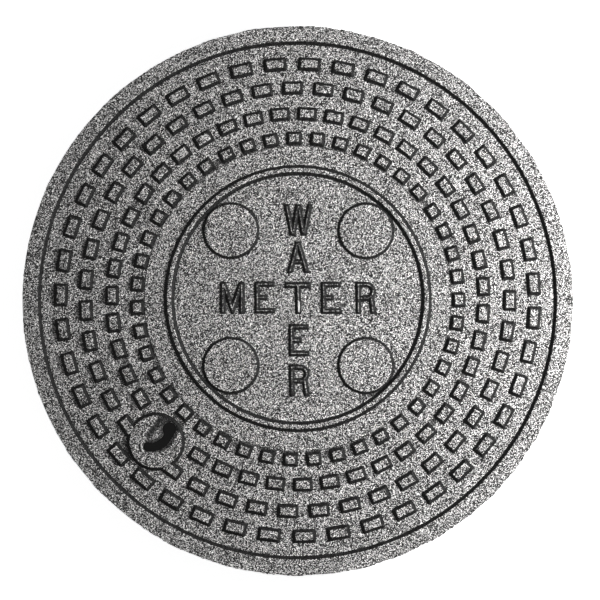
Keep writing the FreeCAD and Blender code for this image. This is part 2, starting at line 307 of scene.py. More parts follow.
def outside_keyhole(u, v):
    """Distance outside the keyhole, in the boss's axes."""
    entry = np.hypot(u - KEY_ENTRY[0], v - KEY_ENTRY[1]) - KEY_ENTRY_RADIUS
    off_u, off_v = u - KEY_PIVOT[0], v - KEY_PIVOT[1]
    turn = np.clip(np.arctan2(off_u, off_v), *KEY_TURNS)
    near_u, near_v = KEY_BEND * np.sin(turn), KEY_BEND * np.cos(turn)
    tail = np.hypot(off_u - near_u, off_v - near_v) - KEY_HALF_WIDTH
    blend = np.clip(0.5 + 0.5 * (tail - entry) / KEY_BLEND, 0.0, 1.0)
    return tail + (entry - tail) * blend - KEY_BLEND * blend * (1.0 - blend)


def keyhole_slope(points):
    """The direction away from the keyhole at points in the boss's axes."""
    step = 0.02
    u, v = points[:, 0], points[:, 1]
    slope_u = outside_keyhole(u + step, v) - outside_keyhole(u - step, v)
    slope_v = outside_keyhole(u, v + step) - outside_keyhole(u, v - step)
    slope = np.stack((slope_u, slope_v), axis=1)
    return slope / np.linalg.norm(slope, axis=1, keepdims=True)


def slide_to(points, distance):
    """Points moved straight towards or away from the keyhole to this distance from it."""
    points = points.copy()
    for _ in range(4):
        gap = distance - outside_keyhole(points[:, 0], points[:, 1])
        points += keyhole_slope(points) * gap[:, None]
    return points


def keyhole_line(spacing=0.8):
    """Evenly spaced points once round the keyhole's wall, in the boss's axes."""
    start = slide_to(np.array([[KEY_ENTRY[0] - KEY_ENTRY_RADIUS, KEY_ENTRY[1]]]), 0.0)
    points = [start[0]]
    while True:
        slope = keyhole_slope(points[-1][None, :])[0]
        ahead = points[-1] + np.array((-slope[1], slope[0])) * spacing
        points.append(slide_to(ahead[None, :], 0.0)[0])
        # Back at the start, after the first few steps away from it
        if len(points) > 9 and np.linalg.norm(points[-1] - points[0]) < spacing * 0.75:
            return np.array(points[:-1])


def bar(x0, y0, x1, y1):
    """A straight upright stroke as a convex outline."""
    return np.array(((x0, y0), (x1, y0), (x1, y1), (x0, y1)))


def slant(x_low, x_high, low, high, width):
    """A slanting stroke with level ends, from its middle at the bottom to that at the top."""
    half = width / 2.0
    return np.array(
        ((x_low - half, low), (x_low + half, low), (x_high + half, high), (x_high - half, high))
    )


LETTER_HEIGHT = 29.4
STROKE = 5.0
BAR = 5.0
HALF = LETTER_HEIGHT / 2.0

# Plain block capitals, each a list of convex strokes about its own middle
STROKES = {
    "W": [
        slant(-5.3, -10.9, -HALF, HALF, STROKE),
        slant(-5.3, -0.1, -HALF, HALF, STROKE),
        slant(4.8, 0.1, -HALF, HALF, STROKE),
        slant(4.8, 11.1, -HALF, HALF, STROKE),
    ],
    "A": [
        slant(-8.0, 0.0, -HALF, HALF, STROKE),
        slant(8.0, 0.0, -HALF, HALF, STROKE),
        bar(-6.2, -6.8, 6.2, -2.1),
    ],
    "T": [bar(-12.2, HALF - 5.5, 11.9, HALF), bar(-2.6, -HALF, 2.7, HALF)],
    "E": [
        bar(-9.2, -HALF, -4.2, HALF),
        bar(-9.2, HALF - BAR, 9.2, HALF),
        bar(-9.2, -2.5, 2.8, 2.5),
        bar(-9.2, -HALF, 9.7, -HALF + BAR),
    ],
    "R": [
        bar(-9.5, -HALF, -4.5, HALF),
        slant(6.7, 4.6, -HALF, 2.0, STROKE + 0.3),
    ],
    "M": [
        bar(-11.2, -HALF, -6.1, HALF),
        bar(6.1, -HALF, 11.2, HALF),
        np.array(((-1.3, -HALF), (1.3, -HALF), (2.8, -10.3), (-6.0, HALF), (-11.2, HALF))),
        np.array(((-2.8, -10.3), (-1.3, -HALF), (1.3, -HALF), (11.2, HALF), (6.0, HALF))),
    ],
}

# The R's bowl: an upright bar, round its right end and back, as left end, bend and radius
BOWL_LEFT = -9.5
BOWL_BEND = (0.4, 5.95)
BOWL_RADIUS = 6.25

# The two words cross at the T, and their letters were set on the pattern by hand
LETTERS = (
    ("W", (0.8, 72.0)), ("A", (0.4, 37.5)), ("T", (0.1, -0.2)), ("E", (0.5, -38.9)),
    ("R", (0.9, -75.9)), ("M", (-60.2, 0.4)), ("E", (-30.7, 0.5)), ("E", (30.3, -0.2)),
    ("R", (62.5, -0.4)),
)

# No letter reaches farther from its middle than this
LETTER_REACH = (18.0, 20.0)


def inside_outline(x, y, outline):
    """Distance inside a convex outline that runs anticlockwise."""
    nearest = np.full_like(x, np.inf)
    for start, end in zip(outline, np.roll(outline, -1, axis=0)):
        along = (end - start) / np.linalg.norm(end - start)
        distance = (y - start[1]) * along[0] - (x - start[0]) * along[1]
        nearest = np.minimum(nearest, distance)
    return nearest


def shrunk(outline, amount, spacing=6.0):
    """A convex outline moved inward, with points along its longer sides."""
    lines = []
    for start, end in zip(outline, np.roll(outline, -1, axis=0)):
        along = (end - start) / np.linalg.norm(end - start)
        lines.append((start + np.array((-along[1], along[0])) * amount, along))
    corners = []
    for (point, along), (next_point, next_along) in zip(lines[-1:] + lines[:-1], lines):
        cross = along[0] * next_along[1] - along[1] * next_along[0]
        gap = next_point - point
        reach = (gap[0] * next_along[1] - gap[1] * next_along[0]) / cross
        corners.append(point + along * reach)
    points = []
    for start, end in zip(corners, corners[1:] + corners[:1]):
        pieces = max(1, round(float(np.linalg.norm(end - start)) / spacing))
        points += [start + (end - start) * (k / pieces) for k in range(pieces)]
    return np.array(points)


def inside_bowl(x, y):
    """Distance inside the bowl of the R, about the letter's own middle."""
    off_x, off_y = x - BOWL_BEND[0], y - BOWL_BEND[1]
    round_part = np.abs(np.hypot(off_x, off_y) - BOWL_RADIUS)
    straight = np.abs(np.abs(off_y) - BOWL_RADIUS)
    inside = BAR / 2.0 - np.where(off_x > 0.0, round_part, straight)
    return np.minimum(inside, x - BOWL_LEFT)


def bowl_line(amount):
    """A row of points round the bowl of the R, moved inward."""
    middle = np.array(BOWL_BEND)
    outer, inner = BOWL_RADIUS + BAR / 2.0 - amount, BOWL_RADIUS - BAR / 2.0 + amount
    left = BOWL_LEFT + amount
    turns = np.linspace(-90.0, 90.0, 15)
    points = [np.array((left, middle[1] - outer))]
    points += [middle + polar(outer, turn) for turn in turns]
    points += [np.array((left, middle[1] + outer)), np.array((left, middle[1] + inner))]
    points += [middle + polar(inner, turn) for turn in turns[::-1]]
    points += [np.array((left, middle[1] - inner))]
    return np.array(points)


def inside_letters(x, y):
    """Distance inside the nearest stroke of the words."""
    nearest = np.full_like(x, FAR_OUTSIDE)
    for glyph, (at_x, at_y) in LETTERS:
        near = (np.abs(x - at_x) < LETTER_REACH[0]) & (np.abs(y - at_y) < LETTER_REACH[1])
        if not near.any():
            continue
        own_x, own_y = x[near] - at_x, y[near] - at_y
        inside = np.full_like(own_x, FAR_OUTSIDE)
        for outline in STROKES[glyph]:
            inside = np.maximum(inside, inside_outline(own_x, own_y, outline))
        if glyph == "R":
            inside = np.maximum(inside, inside_bowl(own_x, own_y))
        nearest[near] = np.maximum(nearest[near], inside)
    return nearest


def letter_lines():
    """Rows of points round every stroke of the words."""
    for glyph, place in LETTERS:
        for level in letter_wall.levels():
            for outline in STROKES[glyph]:
                yield shrunk(outline, level) + np.array(place)
            if glyph == "R":
                yield bowl_line(level) + np.array(place)


# Round marks that the pattern's plugs left: place, radius and depth
MARKS = (
    (polar(130.5, 27.0), 5.4, 0.14),
    (polar(131.0, 150.0), 5.4, 0.10),
    (polar(131.0, 210.0), 5.4, 0.14),
    (polar(130.5, 329.0), 5.4, 0.12),
)
MARK_HALF_WIDTH = 0.8

# The hollow beside the keyhole and the raised lip at its far side, in the boss's axes. The
# keyhole's mouth is dished, less and less towards the far end, and the boss's top is worn down.
# The hollow, the dish and the dip beside the lip are also painted dark, as painted shade and
# painted shadow.
GROOVE = np.array(((0.5, -9.4), (-5.6, -9.2), (-11.3, -10.6), (-17.7, -11.5), (-20.9, -8.1)))
GROOVE_HALF_WIDTH = 3.8
GROOVE_DEPTH = 0.8
LIP = np.array(((11.3, -7.6), (13.1, -5.4), (14.7, -2.0)))
LIP_SHADOW = np.array((1.4, -1.0))
LIP_HALF_WIDTH = 1.1
LIP_RISE = 0.05
LIP_SHADOW_DEPTH = 0.4
DISH_DEPTH = 0.9
DISH_WIDTH = 3.6
DISH_END = 9.0
DISH_FADE = 11.0
BOSS_WEAR = 0.45
BOSS_WEAR_FADE = 1.2


def from_path(u, v, path):
    """Distance from a line through the points of a path."""
    nearest = np.full_like(u, np.inf)
    for start, end in zip(path[:-1], path[1:]):
        along = end - start
        share = ((u - start[0]) * along[0] + (v - start[1]) * along[1]) / (along @ along)
        share = np.clip(share, 0.0, 1.0)
        off_u = u - start[0] - share * along[0]
        off_v = v - start[1] - share * along[1]
        nearest = np.minimum(nearest, np.hypot(off_u, off_v))
    return nearest


def hump(distance, half_width):
    """A smooth hump, one in the middle and nothing beyond its half width."""
    share = np.clip(distance / half_width, 0.0, 1.0)
    return (1.0 - share**2) ** 2


# The stem of the middle letter is worn bright along here, and the plate is scratched there
WORN_STEM = np.array(((0.9, -4.5), (0.9, -12.5)))
WORN_HALF_WIDTH = 1.5
SCRATCH = np.array(((43.6, 22.3), (52.5, 27.7)))
SCRATCH_HALF_WIDTH = 0.7

surface_wave = waves(5, 14.0, 60.0)
fine_wave = waves(6, 3.5, 7.0)
wander_x, wander_y = waves(7, 5.0, 16.0), waves(8, 5.0, 16.0)


def top_walls(x, y):
    """Each kind of wall on the top surface, with the distance inside its foot line."""
    radius = np.hypot(x, y)
    u, v = to_boss(x, y)
    raised = np.maximum(radius - RIM_FOOT_RADIUS, BOSS_FOOT_RADIUS - np.hypot(u, v))
    for ring in block_rings:
        raised = np.maximum(raised, ring.inside(x, y))
    yield block_wall, raised
    yield bead_wall, BEAD_HALF_FOOT - np.abs(radius - BEAD_RADIUS)
    for pad_x, pad_y in PADS:
        yield pad_wall, PAD_FOOT_RADIUS - np.hypot(x - pad_x, y - pad_y)
    yield letter_wall, inside_letters(x, y)


def key_dish(u, v):
    """How far the keyhole's mouth is dished, from 0 to 1: all round the entry, not at the end."""
    fade = np.clip((DISH_END - u) / DISH_FADE, 0.0, 1.0)
    return fade * hump(np.maximum(outside_keyhole(u, v), 0.0), DISH_WIDTH)


def boss_hollow(x, y):
    """How deep the worn and scarred places of the boss are."""
    u, v = to_boss(x, y)
    on_boss = np.clip((BOSS_TOP_RADIUS - np.hypot(u, v)) / BOSS_WEAR_FADE, 0.0, 1.0)
    depth = BOSS_WEAR + DISH_DEPTH * key_dish(u, v)
    depth = depth + GROOVE_DEPTH * hump(from_path(u, v, GROOVE), GROOVE_HALF_WIDTH)
    depth = depth + LIP_SHADOW_DEPTH * hump(from_path(u, v, LIP + LIP_SHADOW), LIP_HALF_WIDTH)
    depth = depth - (BOSS_WEAR + LIP_RISE) * hump(from_path(u, v, LIP), LIP_HALF_WIDTH)
    return depth * on_boss


def top_height(x, y):
    """Height of the top surface, with the casting's unevenness."""
    relief = np.zeros_like(x)
    for wall, inside in top_walls(x, y):
        relief = np.maximum(relief, wall.rise(inside))
    height = FIELD + band_wall.rise(BAND_RADIUS - np.hypot(x, y)) + relief
    height = np.minimum(height, TOP) - boss_hollow(x, y)
    on_rim = (np.hypot(x, y) - RIM_FOOT_RADIUS) / RIM_FALL_WIDTH
    height = height - RIM_FALL * np.clip(on_rim, 0.0, 1.0)
    for place, mark_radius, depth in MARKS:
        ring_gap = np.abs(np.hypot(x - place[0], y - place[1]) - mark_radius)
        height = height - depth * hump(ring_gap, MARK_HALF_WIDTH)
    height = height + SURFACE_WAVE * (surface_wave(x, y) - 1.0)
    return height + FINE_WAVE * (fine_wave(x, y) - 1.0)


# A thin dark line along the edge of the plain band, coating that is partly painted shade at the
# step: its radius, coating and fall to each side
BAND_LINE_RADIUS = BAND_RADIUS - 0.2
BAND_LINE_COATING = 0.8
BAND_LINE_FALL = 1.4


def top_coating_and_shade(x, y):
    """How dark each place of the top is: coating on walls and in corners, partly painted shade,
    painted shade in the keyhole's dish and the groove, painted shadow beside the lip, and the dark
    scratch.
    """
    off_line = np.abs(BAND_LINE_RADIUS - np.hypot(x, y))
    coating_and_shade = BAND_LINE_COATING - BAND_LINE_FALL * off_line
    for wall, inside in top_walls(x, y):
        coating_and_shade = np.maximum(coating_and_shade, wall.coating_and_shade(inside))
    u, v = to_boss(x, y)
    # Painted shade in the groove and the keyhole's dished mouth, painted shadow beside the lip,
    # and the dark scratch
    for near, share in (
        (hump(from_path(u, v, GROOVE), GROOVE_HALF_WIDTH), 0.8),
        (np.minimum(2.0 * key_dish(u, v), 1.0), 0.7),
        (hump(from_path(u, v, LIP + LIP_SHADOW), LIP_HALF_WIDTH), 1.2),
        (hump(from_path(x, y, SCRATCH), SCRATCH_HALF_WIDTH), 1.0),
    ):
        coating_and_shade = np.where(near > 0.0, np.maximum(coating_and_shade, share * near), coating_and_shade)
    return coating_and_shade


def top_wear_and_highlight(x, y):
    """How bright each place of the top is: worn on the middle letter's stem, and a painted
    highlight on the lip's lit side.
    """
    u, v = to_boss(x, y)
    lip = hump(from_path(u, v, LIP), LIP_HALF_WIDTH)
    return np.maximum(lip, hump(from_path(x, y, WORN_STEM), WORN_HALF_WIDTH))


# Below the first height the underside is as flat as the seat, and it is all uneven this much
# higher. The wave is the top's, taken from elsewhere.
SEAT_FLAT = 0.6
SEAT_FLAT_FADE = 2.0
UNDERSIDE_WAVE_SHIFT = 300.0


def under_height(x, y):
    """Height of the underside, with the casting's unevenness."""
    radius = np.hypot(x, y)
    root = SKIRT_FOOT_RADIUS - skirt_wall.run
    depth = skirt_wall.rise(radius - root)
    depth = np.maximum(depth, rib_wall.rise(HUB_TIP_RADIUS + rib_wall.run - radius))
    off_rib = np.minimum(np.abs(x), np.abs(y))
    depth = np.maximum(depth, rib_wall.rise(RIB_HALF_EDGE + rib_wall.run - off_rib))
    height = WEB_UNDERSIDE - depth
    clear = np.clip((height - SEAT_FLAT) / SEAT_FLAT_FADE, 0.0, 1.0)
    return height + clear * UNDERSIDE_WAVE * surface_wave(x + UNDERSIDE_WAVE_SHIFT, y)


def normals_of(height_at, x, y, upward):
    """Unit normals of a height field, facing up or down."""
    step = 0.03
    slope_x = (height_at(x + step, y) - height_at(x - step, y)) / (2.0 * step)
    slope_y = (height_at(x, y + step) - height_at(x, y - step)) / (2.0 * step)
    normals = np.stack((-slope_x, -slope_y, np.ones_like(x)), axis=1)
    normals /= np.linalg.norm(normals, axis=1, keepdims=True)
    return normals if upward else -normals


# How far a scattered point strays from its place, as a share of the spacing
SCATTER = 0.28

# Spacing of the scattered points, closer where there is more to show
FLAT_SPACING = 6.0
BOSS_SPACING = 1.3
LIP_SPACING = 0.5
SCRATCH_SPACING = 0.4
UNDERSIDE_SPACING = 14.0

# Points closer together than this are made one
MERGE_DISTANCE = 1e-4


def scattered(seed, spacing, inner, outer):
    """Points strewn evenly over a ring of the plan."""
    rng = np.random.default_rng(seed)
    steps = np.arange(-outer, outer + spacing, spacing)
    grid_x, grid_y = np.meshgrid(steps, steps)
    grid_x[::2] += spacing / 2.0
    points = np.stack((grid_x.ravel(), grid_y.ravel()), axis=1)
    points += rng.uniform(-SCATTER, SCATTER, points.shape) * spacing
    radius = np.hypot(points[:, 0], points[:, 1])
    return points[(radius > inner) & (radius < outer)]


def triangulated(lines, loose):
    """Triangles over closed lines and loose points: the points, faces and each line's places."""
    coordinates, edges, starts = [], [], []
    for line in lines:
        start, count = len(coordinates), len(line)
        starts.append((start, count))
        coordinates += [Vector((float(px), float(py))) for px, py in line]
        edges += [(start + k, start + (k + 1) % count) for k in range(count)]
    coordinates += [Vector((float(px), float(py))) for px, py in loose]
    points, _, faces, origins, _, _ = delaunay_2d_cdt(
        coordinates, edges, [], 0, MERGE_DISTANCE, True
    )
    place = {}
    for index, sources in enumerate(origins):
        for source in sources:
            place[source] = index
    plan = np.array([(p.x, p.y) for p in points])
    loops = [[place[start + k] for k in range(count)] for start, count in starts]
    return plan, np.array(faces), loops


def clear_of_keyhole(points, distance):
    """The points that are farther from the keyhole than this."""
    u, v = to_boss(points[:, 0], points[:, 1])
    return points[outside_keyhole(u, v) > distance]


# Numbers of points round the circles of the plan
RIM_COUNT = 1080
RIM_WALL_COUNT = 420
BEAD_COUNT = 300
DISC_COUNT = 96
HUB_COUNT = 72
MARK_COUNT = 40

# The boss's rows keep this far from the keyhole's mouth, plus a share of their level
MOUTH_GAP = 0.35
MOUTH_GAP_SHARE = 0.1


def boss_row(level):
    """A row of points round the boss that makes way for the keyhole's mouth."""
    row = circle_line(BOSS_FOOT_RADIUS - level, DISC_COUNT)
    clear = KEY_MOUTH_ROUND + MOUTH_GAP + MOUTH_GAP_SHARE * level
    near = outside_keyhole(row[:, 0], row[:, 1]) < clear
    row[near] = slide_to(row[near], clear)
    return from_boss(row)


# The rim's rounded upper edge and the chamfer round its seat
EDGE_ROUND = 1.9
SEAT_CHAMFER = 1.5

# Rows of points down the rim: how far its round starts below the top, the turns of the round in
# degrees, and heights on the side. The side's roughness is a middle value with shares of a
# coarse and a fine wave.
EDGE_DROP = 0.1
EDGE_TURNS = (65.0, 40.0, 18.0)
SIDE_HEIGHTS = (22.6, 18.0, 13.0, 8.0, 3.5)
ROUGH_MIDDLE = 0.5
ROUGH_COARSE = 0.45
ROUGH_FINE = 0.3

# The same down the keyhole
MOUTH_TURNS = (60.0, 30.0, 0.0)
KEY_HEIGHTS = (20.0, 14.6)

key_wall = keyhole_line()
key_outward = keyhole_slope(key_wall)
mouth_line = slide_to(key_wall, KEY_MOUTH_ROUND)
foot_line = slide_to(key_wall, KEY_FOOT_ROUND)


def top_sheet():
    """Plan, faces, outer loop and keyhole loop of the top surface."""
    lines = [circle_line(RADIUS - EDGE_ROUND, RIM_COUNT), from_boss(mouth_line)]
    for ring in block_rings:
        lines += list(ring.lines())
    for level in block_wall.levels():
        lines.append(circle_line(RIM_FOOT_RADIUS + level, RIM_WALL_COUNT))
        lines.append(boss_row(level))
    for level in bead_wall.levels():
        for side in (-1, 1):
            radius = BEAD_RADIUS + side * (BEAD_HALF_FOOT - level)
            lines.append(circle_line(radius, BEAD_COUNT))
    for level in band_wall.levels(1, 1):
        lines.append(circle_line(BAND_RADIUS - level, BEAD_COUNT))
    for level in pad_wall.levels():
        lines += [circle_line(PAD_FOOT_RADIUS - level, DISC_COUNT, pad) for pad in PADS]
    lines += list(letter_lines())
    for place, mark_radius, _ in MARKS:
        for offset in (-MARK_HALF_WIDTH, 0.0, MARK_HALF_WIDTH):
            lines.append(circle_line(mark_radius + offset, MARK_COUNT, place))
    # Loose points all over, closer on the boss, and closest round its lip and on the scratch
    flats = scattered(11, FLAT_SPACING, 0.0, RADIUS - EDGE_ROUND - 1.0)
    boss = scattered(12, BOSS_SPACING, 0.0, 30.0)
    boss = boss[np.hypot(boss[:, 0], boss[:, 1]) < BOSS_TOP_RADIUS] + BOSS
    lip = scattered(14, LIP_SPACING, 0.0, 20.0)
    lip = lip[from_path(lip[:, 0], lip[:, 1], LIP + LIP_SHADOW / 2.0) < 2.4]
    scratch = scattered(15, SCRATCH_SPACING, 48.0, 60.0)
    scratch = scratch[from_path(scratch[:, 0], scratch[:, 1], SCRATCH) < 1.1]
    loose = np.concatenate((flats, boss, from_boss(lip), scratch))
    plan, faces, loops = triangulated(lines, clear_of_keyhole(loose, 1.4))
    return plan, faces, loops[0], loops[1]


def under_sheet():
    """Plan, faces, outer loop and keyhole loop of the underside."""
    outer = RADIUS - SEAT_CHAMFER
    root = SKIRT_FOOT_RADIUS - skirt_wall.run
    lines = [circle_line(outer, RIM_COUNT), from_boss(foot_line)]
    for level in skirt_wall.levels(4, 2):
        lines.append(circle_line(root + level, BEAD_COUNT))
    for level in rib_wall.levels(3, 2):
        lines.append(circle_line(HUB_TIP_RADIUS + rib_wall.run - level, HUB_COUNT))
        half = RIB_HALF_EDGE + rib_wall.run - level
        reach = SKIRT_FOOT_RADIUS + 3.0
        for along, across in ((reach, half), (half, reach)):
            lines.append(shrunk(bar(-along, -across, along, across), 0.0, 24.0))
    loose = clear_of_keyhole(scattered(13, UNDERSIDE_SPACING, 0.0, outer - 3.0), 3.0)
    plan, faces, loops = triangulated(lines, loose)
    return plan, faces, loops[0], loops[1]


def without_keyhole(plan, faces, key_loop):
    """The faces that lie outside the keyhole."""
    middle = plan[faces].mean(axis=1)
    hole = plan[key_loop]
    crossings = np.zeros(len(middle), dtype=int)
    for start, end in zip(hole, np.roll(hole, -1, axis=0)):
        if start[1] == end[1]:
            continue
        spans = (middle[:, 1] < start[1]) != (middle[:, 1] < end[1])
        share = (middle[:, 1] - start[1]) / (end[1] - start[1])
        crossings += spans & (middle[:, 0] < start[0] + share * (end[0] - start[0]))
    return faces[crossings % 2 == 0]


def anticlockwise(plan, faces):
    """The faces, all turned to run anticlockwise."""
    a, b, c = plan[faces[:, 0]], plan[faces[:, 1]], plan[faces[:, 2]]
    area = (b[:, 0] - a[:, 0]) * (c[:, 1] - a[:, 1]) - (b[:, 1] - a[:, 1]) * (c[:, 0] - a[:, 0])
    faces = faces.copy()
    faces[area < 0.0] = faces[area < 0.0][:, ::-1]
    return faces


class Skin:
    """Vertices, normals, faces, and each vertex's darkness from coating and painted shade and
    brightness from wear and the lip's painted highlight.
    """

    def __init__(self):
        self.points, self.normals, self.faces = [], [], []
        self.coating_and_shade, self.wear_and_highlight = [], []

    def add(self, points, normals, coating_and_shade, wear_and_highlight=None):
        """Adds vertices and returns their places."""
        start = len(self.points)
        self.points += [tuple(p) for p in points]
        self.normals += [tuple(n) for n in normals]
        self.coating_and_shade += [float(c) for c in coating_and_shade]
        self.wear_and_highlight += [0.0] * len(points) if wear_and_highlight is None else [float(w) for w in wear_and_highlight]
        return list(range(start, start + len(points)))

    def strip(self, first, second):
        """A closed band of quads between two rows of vertices of one length."""
        count = len(first)
        for k in range(count):
            after = (k + 1) % count
            self.faces.append((first[k], first[after], second[after], second[k]))


def wander(plan):
    """The plan moved a little, as sand gives way, but not at the outer rim."""
    x, y = plan[:, 0], plan[:, 1]
    steady_from, fade_width = RADIUS - 6.0, 10.0
    fade = np.clip((steady_from - np.hypot(x, y)) / fade_width, 0.0, 1.0) * EDGE_WANDER
    return plan + np.stack((wander_x(x, y) * fade, wander_y(x, y) * fade), axis=1)


# How much coating the parts keep that the top's pattern doesn't reach; on the keyhole's mouth it
# is partly painted shade
UNDERSIDE_COATING = 0.35
SIDE_COATING = 0.3
MOUTH_COATING = 0.3


def add_top(skin):
    """The patterned top. Returns its vertices along the rim and round the keyhole."""
    plan, faces, rim_loop, key_loop = top_sheet()
    x, y = plan[:, 0], plan[:, 1]
    height = top_height(x, y)
    normals = normals_of(top_height, x, y, True)
    points = np.column_stack((wander(plan), height))
    places = np.array(skin.add(points, normals, top_coating_and_shade(x, y), top_wear_and_highlight(x, y)))
    faces = anticlockwise(plan, without_keyhole(plan, faces, key_loop))
    skin.faces += [tuple(int(i) for i in places[face]) for face in faces]
    return [int(places[i]) for i in rim_loop], [int(places[i]) for i in key_loop]


def add_underside(skin):
    """The seat, skirt, web, ribs and hub. Returns its vertices as add_top does."""
    plan, faces, rim_loop, key_loop = under_sheet()
    x, y = plan[:, 0], plan[:, 1]
    height = np.maximum(under_height(x, y), 0.0)
    normals = normals_of(under_height, x, y, False)
    points = np.column_stack((wander(plan), height))
    places = np.array(skin.add(points, normals, np.full(len(plan), UNDERSIDE_COATING)))
    faces = anticlockwise(plan, without_keyhole(plan, faces, key_loop))[:, ::-1]
    skin.faces += [tuple(int(i) for i in places[face]) for face in faces]
    return [int(places[i]) for i in rim_loop], [int(places[i]) for i in key_loop]


def add_outer_side(skin, upper, lower):
    """The rounded upper edge, the rough side and the chamfer down to the seat."""
    angles = np.linspace(0.0, 2.0 * math.pi, RIM_COUNT, endpoint=False)
    cosine, sine = np.cos(angles), np.sin(angles)
    coarse, fine = waves(21, 9.0, 50.0), waves(22, 3.2, 5.5)
    # Each row's radius, height and how much its normal points up, the last on the chamfer
    rows = []
    for turn in EDGE_TURNS:
        tilt = math.radians(turn)
        rows.append((RADIUS - EDGE_ROUND * (1.0 - math.cos(tilt)),
                     TOP - EDGE_DROP - EDGE_ROUND * (1.0 - math.sin(tilt)), math.sin(tilt)))
    rows += [(RADIUS, height, 0.0) for height in SIDE_HEIGHTS]
    rows.append((RADIUS - 0.3, SEAT_CHAMFER * 0.8, -0.4))
    previous = upper
    arc = angles * RADIUS
    for radius, height, tilt in rows:
        rough = ROUGH_MIDDLE + ROUGH_COARSE * coarse(arc, np.full_like(arc, height * 2.0))
        rough = rough + ROUGH_FINE * fine(arc, np.full_like(arc, height))
        level = math.sqrt(1.0 - tilt**2)
        inward = OUTER_ROUGHNESS * np.clip(rough, 0.0, 1.0) + OUTER_SHIFT * (1.0 - cosine)
        reach = radius - inward * level
        points = np.column_stack((cosine * reach, sine * reach, np.full_like(arc, height)))
        normals = np.column_stack((cosine * level, sine * level, np.full_like(arc, tilt)))
        row = skin.add(points, normals, np.full(RIM_COUNT, SIDE_COATING))
        skin.strip(previous[::-1], row[::-1])
        previous = row
    skin.strip(previous[::-1], lower[::-1])


def add_keyhole_side(skin, upper, lower):
    """The rounded mouth of the keyhole and its wall."""
    mouth = from_boss(mouth_line)
    rim_height = top_height(mouth[:, 0], mouth[:, 1])
    outward = key_outward[:, :1] * BOSS_OUTWARD + key_outward[:, 1:] * BOSS_SIDEWAYS
    previous = upper
    for turn in MOUTH_TURNS:
        tilt = math.radians(turn)
        line = slide_to(key_wall, KEY_MOUTH_ROUND * (1.0 - math.cos(tilt)))
        plan = wander(from_boss(line))
        height = rim_height - KEY_MOUTH_ROUND * (1.0 - math.sin(tilt))
        normals = np.column_stack((-outward * math.cos(tilt), np.full(len(line), math.sin(tilt))))
        points = np.column_stack((plan, height))
        row = skin.add(points, normals, np.full(len(line), MOUTH_COATING))
        skin.strip(previous, row)
        previous = row
    # Down the keyhole the wall is dark all over: coating and painted shade
    plan = wander(from_boss(key_wall))
    for height in KEY_HEIGHTS:
        points = np.column_stack((plan, np.full(len(key_wall), height)))
        normals = np.column_stack((-outward, np.zeros(len(key_wall))))
        row = skin.add(points, normals, np.ones(len(key_wall)))
        skin.strip(previous, row)
        previous = row
    skin.strip(previous, lower)


def make_cover():
    """The whole casting as one closed mesh."""
    skin = Skin()
    upper_rim, upper_key = add_top(skin)
    lower_rim, lower_key = add_underside(skin)
    add_outer_side(skin, upper_rim, lower_rim)
    add_keyhole_side(skin, upper_key, lower_key)
    used = sorted({i for face in skin.faces for i in face})
    place = {old: new for new, old in enumerate(used)}
    faces = [tuple(place[i] for i in face) for face in skin.faces]
    mesh = bpy.data.meshes.new("cover_casting")
    mesh.from_pydata([tuple(c * MM for c in skin.points[i]) for i in used], [], faces)
    mesh.polygons.foreach_set("use_smooth", [True] * len(mesh.polygons))
    for name, values in (("coating_and_shade", skin.coating_and_shade), ("wear_and_highlight", skin.wear_and_highlight)):
        attribute = mesh.attributes.new(name, "FLOAT", "POINT")
        attribute.data.foreach_set("value", [values[i] for i in used])
    mesh.normals_split_custom_set_from_vertices([skin.normals[i] for i in used])
    mesh.update()
    cover = bpy.data.objects.new("cover_casting", mesh)
    bpy.context.scene.collection.objects.link(cover)
    return cover


# The iron's grain, its bright flecks partly painted glints: flecks to a metre, the power and gain
# that make few of them bright and many dark, and how bright the brightest and the darkest are
FLECK_SCALE = 1700.0
FLECK_POWER = 11.0
FLECK_GAIN = 13.0
FLECK_BRIGHTEST = 0.92
FLECK_DARKEST = 0.012

# Its facets: how many to a metre and how far they lean, bare and coated
FACET_SCALE = 2100.0
FACET_LEAN = 1.25
FACET_LEAN_COATED = 0.45

# What is left of the brightness under the coating and painted shade, how bright the most worn
# places and the lip's painted highlight are at least, and the iron's green and blue as shares of
# its red
COATED_SHARE = 0.03
WORN_AND_LIT_BRIGHTNESS = 0.75
GREEN_SHARE = 0.985
BLUE_SHARE = 0.972

# Roughness and specular level, each bare and coated
ROUGHNESS = (0.36, 0.6)
SPECULAR = (0.2, 0.15)

# Faint patches over the whole face: how many to a metre, and the range of their brightness
PATCH_SCALE = 34.0
PATCH_RANGE = (0.9, 1.1)


class Nodes:
    """A short way to build a node tree."""

    def __init__(self, tree):
        self.tree = tree
        tree.nodes.clear()

    def add(self, kind, inputs=None, **settings):
        """A node with these inputs, each a value or another node's socket, and settings."""
        node = self.tree.nodes.new(kind)
        for name, value in settings.items():
            setattr(node, name, value)
        for name, value in (inputs or {}).items():
            socket = node.inputs[name]
            if isinstance(value, bpy.types.NodeSocket):
                self.tree.links.new(value, socket)
            else:
                socket.default_value = value
        return node

    def math(self, operation, first, second=0.0, clamp=False):
        """The result of a sum or the like."""
        inputs = {0: first, 1: second}
        return self.add("ShaderNodeMath", inputs, operation=operation, use_clamp=clamp).outputs[0]

    def remap(self, value, low, high, to_low, to_high):
        """The value carried from one range over to another, and held at its ends."""
        inputs = {
            "Value": value, "From Min": low, "From Max": high, "To Min": to_low, "To Max": to_high,
        }
        return self.add("ShaderNodeMapRange", inputs, clamp=True).outputs["Result"]

    def seen(self):
        """One where the camera sees the thing, also in metal and through glass."""
        rays = self.add("ShaderNodeLightPath").outputs
        seen = self.math("MAXIMUM", rays["Is Camera Ray"], rays["Is Glossy Ray"])
        return self.math("MAXIMUM", seen, rays["Is Transmission Ray"])


